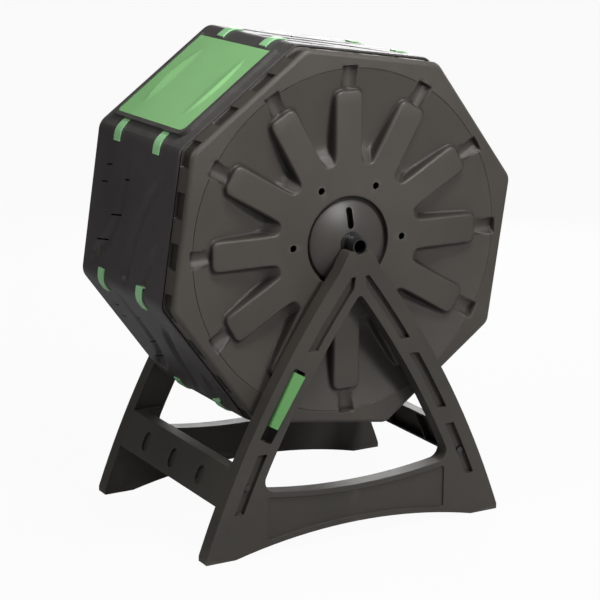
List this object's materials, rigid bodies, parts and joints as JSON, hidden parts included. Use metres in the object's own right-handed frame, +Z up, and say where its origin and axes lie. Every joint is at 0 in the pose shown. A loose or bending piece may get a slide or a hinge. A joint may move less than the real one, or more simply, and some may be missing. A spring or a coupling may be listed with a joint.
{
  "type": "compost tumbler",
  "caption": "Octagonal drum with a sliding door that turns on an axle between two A-frame stands, with a lever that locks the drum.",
  "frame": {"origin": "on the ground, under the middle of the drum", "axes": "+Z up, +Y along the axle from the front stand to the rear stand, +X to the right seen from the front"},
  "size_m": [0.7484, 0.483, 0.9422],
  "materials": {
    "stand": "moulded polypropylene, fine texture, warm charcoal",
    "end_panel": "moulded polypropylene, fine texture, warm charcoal",
    "side_panel": "moulded polypropylene, fine texture, charcoal",
    "hub": "moulded polypropylene, smooth",
    "door": "moulded polypropylene, leaf green, satin",
    "clip": "moulded nylon, pale green, satin",
    "lock": "moulded nylon, green, satin",
    "steel": "zinc-plated steel"
  },
  "bodies": {
    "stand": {"front_stand": "stand", "rear_stand": "stand", "left_brace": "stand", "right_brace": "stand", "brace_bolts": "steel", "brace_nuts": "steel", "lock_pin": "steel"},
    "drum": {"front_end_panel": "end_panel", "rear_end_panel": "end_panel", "side_panel_1": "side_panel", "side_panel_2": "side_panel", "side_panel_3": "side_panel", "side_panel_4": "side_panel", "side_panel_5": "side_panel", "side_panel_6": "side_panel", "side_panel_7": "side_panel", "door_frame": "side_panel", "clip_pair_1": "clip", "clip_pair_2": "clip", "clip_pair_3": "clip", "clip_pair_4": "clip", "clip_pair_5": "clip", "clip_pair_6": "clip", "clip_pair_7": "clip", "clip_pair_8": "clip", "axle_tube": "steel", "front_hub": "hub", "rear_hub": "hub", "front_hub_screws": "steel", "rear_hub_screws": "steel", "front_washer": "steel", "rear_washer": "steel", "axle_pins": "steel"},
    "door": {"door": "door"},
    "lock": {"drum_lock": "lock"}
  },
  "joints": [
    {"name": "drum_spin", "type": "hinge", "parent": "stand", "child": "drum", "pos_m": [0, 0, 0.568], "axis": [0, 1, 0], "continuous": true},
    {"name": "door_slide", "type": "slide", "parent": "drum", "child": "door", "axis": [0.8028, 0, 0.5962], "range_m": [0, 0.2]},
    {"name": "lock_swing", "type": "hinge", "parent": "stand", "child": "lock", "pos_m": [-0.18, -0.228, 0.25623], "axis": [-0.866, 0, 0.5], "range_deg": [0, 11]}
  ]
}
